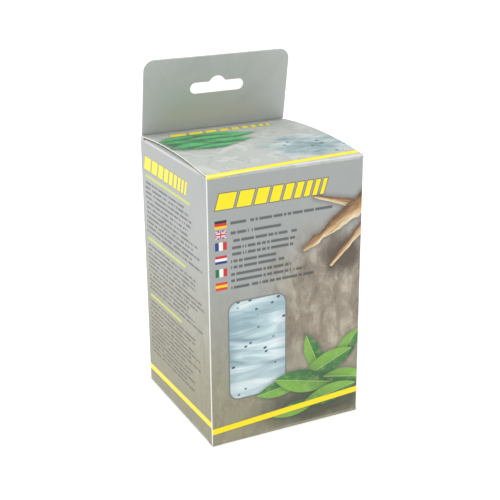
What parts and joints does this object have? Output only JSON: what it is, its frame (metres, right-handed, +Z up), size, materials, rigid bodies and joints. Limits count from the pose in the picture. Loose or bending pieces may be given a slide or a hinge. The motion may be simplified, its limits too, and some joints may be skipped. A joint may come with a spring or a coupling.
{
  "type": "fly feeder box",
  "caption": "Folding carton with tuck lid, tuck bottom and doubled hang tab, holding a clear ribbed feeder can for live flies with a plugged exit hole",
  "frame": {"origin": "centre of the carton's foot, on the surface it stands on", "axes": "+Z up, -Y out of the printed front panel, +X to the viewer's right"},
  "size_m": [0.088, 0.087, 0.1892],
  "materials": {
    "printed_board": "gloss laminated print outside, plain white board inside",
    "clear_plastic": "clear, thin formed",
    "gauze": "soft white gauze"
  },
  "bodies": {
    "carton": {"front_wall": "printed_board", "left_wall": "printed_board", "right_wall": "printed_board", "rear_wall": "printed_board", "seam_flap": "printed_board"},
    "lid": {"lid_panel": "printed_board"},
    "lid_tuck": {"lid_tuck_flap": "printed_board"},
    "top_dust_left": {"top_dust_flap_left": "printed_board"},
    "top_dust_right": {"top_dust_flap_right": "printed_board"},
    "bottom": {"bottom_panel": "printed_board"},
    "bottom_tuck": {"bottom_tuck_flap": "printed_board"},
    "bottom_dust_left": {"bottom_dust_flap_left": "printed_board"},
    "bottom_dust_right": {"bottom_dust_flap_right": "printed_board"},
    "hang_tab": {"hang_tab_rear_ply": "printed_board", "hang_tab_front_ply": "printed_board"},
    "can": {"feeder_can": "clear_plastic"},
    "can_lid": {"feeder_lid": "clear_plastic", "exit_wad": "gauze"}
  },
  "joints": [
    {"name": "lid_fold", "type": "hinge", "parent": "carton", "child": "lid", "pos_m": [0, -0.043, 0.146], "axis": [1, 0, 0], "range_deg": [0, 180]},
    {"name": "lid_tuck_fold", "type": "hinge", "parent": "lid", "child": "lid_tuck", "pos_m": [0, 0.04079, 0.1472], "axis": [1, 0, 0], "range_deg": [0, 45]},
    {"name": "top_dust_left_fold", "type": "hinge", "parent": "carton", "child": "top_dust_left", "pos_m": [-0.0435, 0, 0.1453], "axis": [0, -1, 0], "range_deg": [0, 90]},
    {"name": "top_dust_right_fold", "type": "hinge", "parent": "carton", "child": "top_dust_right", "pos_m": [0.0435, 0, 0.1453], "axis": [0, 1, 0], "range_deg": [0, 90]},
    {"name": "bottom_fold", "type": "hinge", "parent": "carton", "child": "bottom", "pos_m": [0, -0.043, 0.0005], "axis": [-1, 0, 0], "range_deg": [0, 180]},
    {"name": "bottom_tuck_fold", "type": "hinge", "parent": "bottom", "child": "bottom_tuck", "pos_m": [0, 0.0423, 0.0005], "axis": [-1, 0, 0], "range_deg": [0, 45]},
    {"name": "bottom_dust_left_fold", "type": "hinge", "parent": "carton", "child": "bottom_dust_left", "pos_m": [-0.0435, 0, 0.0012], "axis": [0, 1, 0], "range_deg": [0, 90]},
    {"name": "bottom_dust_right_fold", "type": "hinge", "parent": "carton", "child": "bottom_dust_right", "pos_m": [0.0435, 0, 0.0012], "axis": [0, -1, 0], "range_deg": [0, 90]},
    {"name": "hang_tab_fold", "type": "hinge", "parent": "carton", "child": "hang_tab", "pos_m": [0, 0.043, 0.1475], "axis": [1, 0, 0], "range_deg": [-100, 57]},
    {"name": "can_lift", "type": "slide", "parent": "carton", "child": "can", "axis": [0, 0, 1], "range_m": [0, 0.0026]},
    {"name": "can_lid_turn", "type": "hinge", "parent": "can", "child": "can_lid", "pos_m": [0, 0, 0.12854], "axis": [0, 0, 1], "continuous": true}
  ],
  "couplings": [
    {"joint": "lid_tuck_fold", "follows": "lid_fold", "ratio": 0.25},
    {"joint": "top_dust_left_fold", "follows": "lid_fold", "ratio": 0.5},
    {"joint": "top_dust_right_fold", "follows": "lid_fold", "ratio": 0.5},
    {"joint": "bottom_tuck_fold", "follows": "bottom_fold", "ratio": 0.25},
    {"joint": "bottom_dust_left_fold", "follows": "bottom_fold", "ratio": 0.5},
    {"joint": "bottom_dust_right_fold", "follows": "bottom_fold", "ratio": 0.5}
  ]
}
